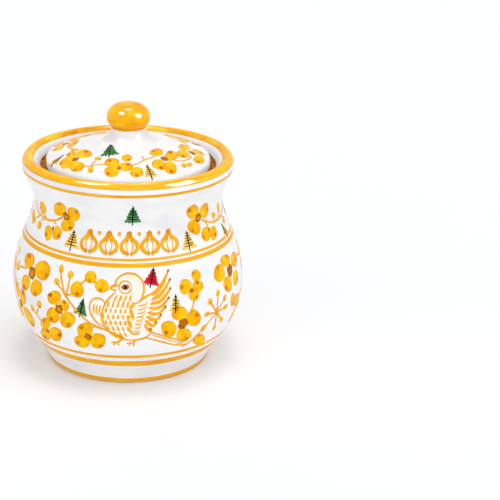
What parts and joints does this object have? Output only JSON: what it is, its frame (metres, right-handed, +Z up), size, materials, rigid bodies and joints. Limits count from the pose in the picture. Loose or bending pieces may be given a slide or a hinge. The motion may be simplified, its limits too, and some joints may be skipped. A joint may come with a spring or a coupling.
{
  "type": "garlic keeper",
  "caption": "Glazed earthenware garlic keeper: a round-bellied jar with air vents in its back, a sunken gallery and a lift-off domed lid with a ball knob.",
  "frame": {"origin": "centre of the circle that the foot ring stands on", "axes": "+Z up through the knob, -Y towards the painted front, +Y towards the vents at the back"},
  "size_m": [0.15, 0.15, 0.1711],
  "materials": {
    "white_glaze": "glossy white tin glaze with painted yellow bands and flowers",
    "lid_glaze": "glossy white tin glaze with a painted yellow garland",
    "yellow_glaze": "glossy mottled golden yellow glaze"
  },
  "bodies": {
    "jar": {"jar": "white_glaze"},
    "lid": {"lid": "lid_glaze", "knob": "yellow_glaze"}
  },
  "joints": [
    {"name": "lid_lift", "type": "slide", "parent": "jar", "child": "lid", "axis": [0, 0, 1], "range_m": [0, 0.065]}
  ]
}
